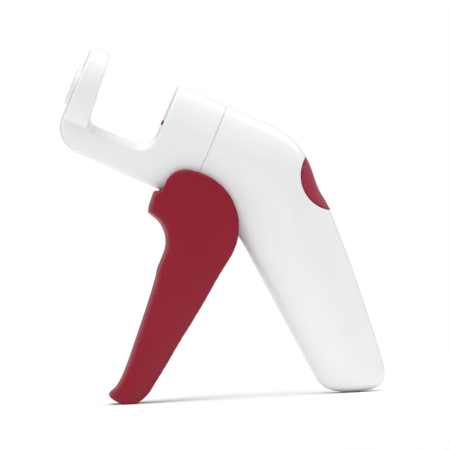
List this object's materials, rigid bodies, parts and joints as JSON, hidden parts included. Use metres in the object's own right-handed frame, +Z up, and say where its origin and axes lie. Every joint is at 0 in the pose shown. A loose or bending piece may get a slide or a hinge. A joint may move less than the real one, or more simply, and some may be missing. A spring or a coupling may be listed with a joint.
{
  "type": "cherry pitter",
  "caption": "Pistol-grip fruit stoner: a squeeze lever drives a sprung plunger across a gap into a cup ring on a C-shaped arm.",
  "frame": {"origin": "on the surface that the tool stands on, under the middle of its bounding box", "axes": "+Z up, +X from the nose towards the handle, +Y across the tool, whose outline is symmetric about Y = 0"},
  "size_m": [0.163, 0.044, 0.1849],
  "materials": {
    "white_plastic": "gloss moulded",
    "red_plastic": "satin moulded",
    "red_rubber": "soft satin",
    "dark_acetal": "smooth",
    "natural_acetal": "smooth",
    "steel": "zinc plated"
  },
  "bodies": {
    "body": {"front_arm": "white_plastic", "pit_cup": "white_plastic", "nose_bush": "dark_acetal", "spring_washer": "steel", "slider_guide": "natural_acetal", "body_shell_left": "white_plastic", "body_shell_right": "white_plastic", "thumb_rest": "red_rubber", "pivot_axle": "steel", "shell_screws": "steel", "arm_screws": "steel", "shell_dowels": "natural_acetal", "return_spring": "steel"},
    "lever": {"trigger_lever": "red_plastic", "drive_fork": "natural_acetal", "fork_bush": "dark_acetal", "fork_pins": "steel"},
    "plunger": {"plunger_rod": "red_plastic", "plunger_slider": "natural_acetal", "rod_screw": "steel"}
  },
  "joints": [
    {"name": "lever_hinge", "type": "hinge", "parent": "body", "child": "lever", "pos_m": [-0.0174, 0, 0.09132], "axis": [0, -1, 0], "range_deg": [0, 56], "stiffness_Nm_per_rad": 0.8, "springref_deg": -34.38},
    {"name": "plunger_slide", "type": "slide", "parent": "body", "child": "plunger", "axis": [-0.9003, 0, 0.4352], "range_m": [0, 0.0458], "deforming": ["return_spring"]}
  ],
  "couplings": [
    {"joint": "plunger_slide", "follows": "lever_hinge", "m_per_rad": 0.04679}
  ]
}
